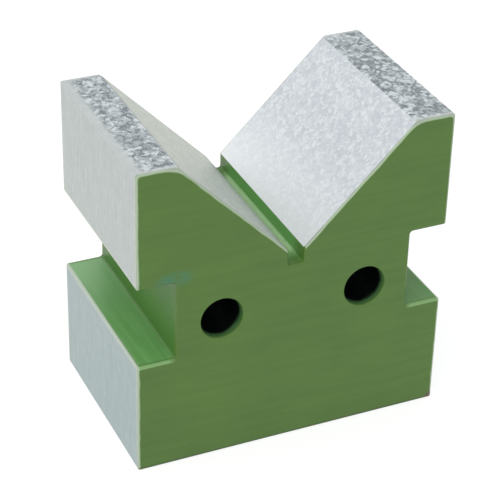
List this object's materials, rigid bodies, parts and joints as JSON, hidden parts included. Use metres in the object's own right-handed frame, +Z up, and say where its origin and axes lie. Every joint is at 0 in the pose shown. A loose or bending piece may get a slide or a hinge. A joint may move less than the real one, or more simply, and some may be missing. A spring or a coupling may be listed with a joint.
{
  "type": "v block",
  "caption": "Cast-iron vee block with a 90 degree vee and relief slot, a clamp slot along each side and through holes in its ends; painted, with bare scraped working faces.",
  "frame": {"origin": "middle of the underside", "axes": "+Z up, through the middle of the vee; the vee and the two holes run along Y; the side slots open along +X and -X"},
  "size_m": [0.15, 0.094, 0.1525],
  "materials": {
    "green_paint": "satin",
    "scraped_iron": "hand scraped and ground"
  },
  "bodies": {
    "root": {"v_block": "green_paint"}
  },
  "joints": []
}
